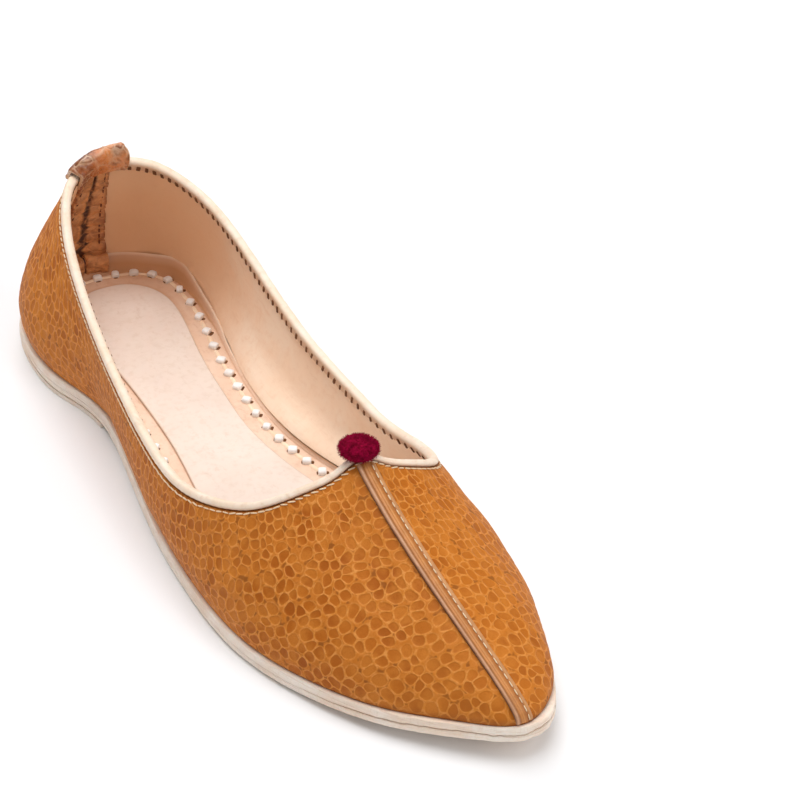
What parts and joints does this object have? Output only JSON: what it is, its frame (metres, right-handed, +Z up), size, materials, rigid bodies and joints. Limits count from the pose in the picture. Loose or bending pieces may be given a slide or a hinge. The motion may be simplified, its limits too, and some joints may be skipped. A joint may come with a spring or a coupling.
{
  "type": "mojari",
  "caption": "Pointed leather slip-on for the right foot, flat sole, rolled collar binding, centre strip and felt pompom.",
  "frame": {"origin": "middle of the bounding box, on the floor", "axes": "toe towards -Y, heel towards +Y, +Z up, the wearer's right (outer side) towards -X"},
  "size_m": [0.0828, 0.2704, 0.0616],
  "materials": {
    "raw_leather": "matt raw cut edge, pinkish cream",
    "tan_leather": "pebbled, soft sheen",
    "cream_leather": "smooth, satin",
    "peach_leather": "smooth, satin",
    "pad_leather": "smooth, satin",
    "strip_leather": "waxed, satin",
    "brown_leather": "cracked grain, satin",
    "maroon_felt": "wool felt, matt"
  },
  "bodies": {
    "root": {"outsole": "raw_leather", "midsole": "raw_leather", "heel_lift": "raw_leather", "upper": "tan_leather", "collar_binding": "cream_leather", "insole": "peach_leather", "insole_pad": "pad_leather", "vamp_strip": "strip_leather", "heel_strip": "brown_leather", "pull_tab": "brown_leather", "pompom": "maroon_felt"}
  },
  "joints": []
}
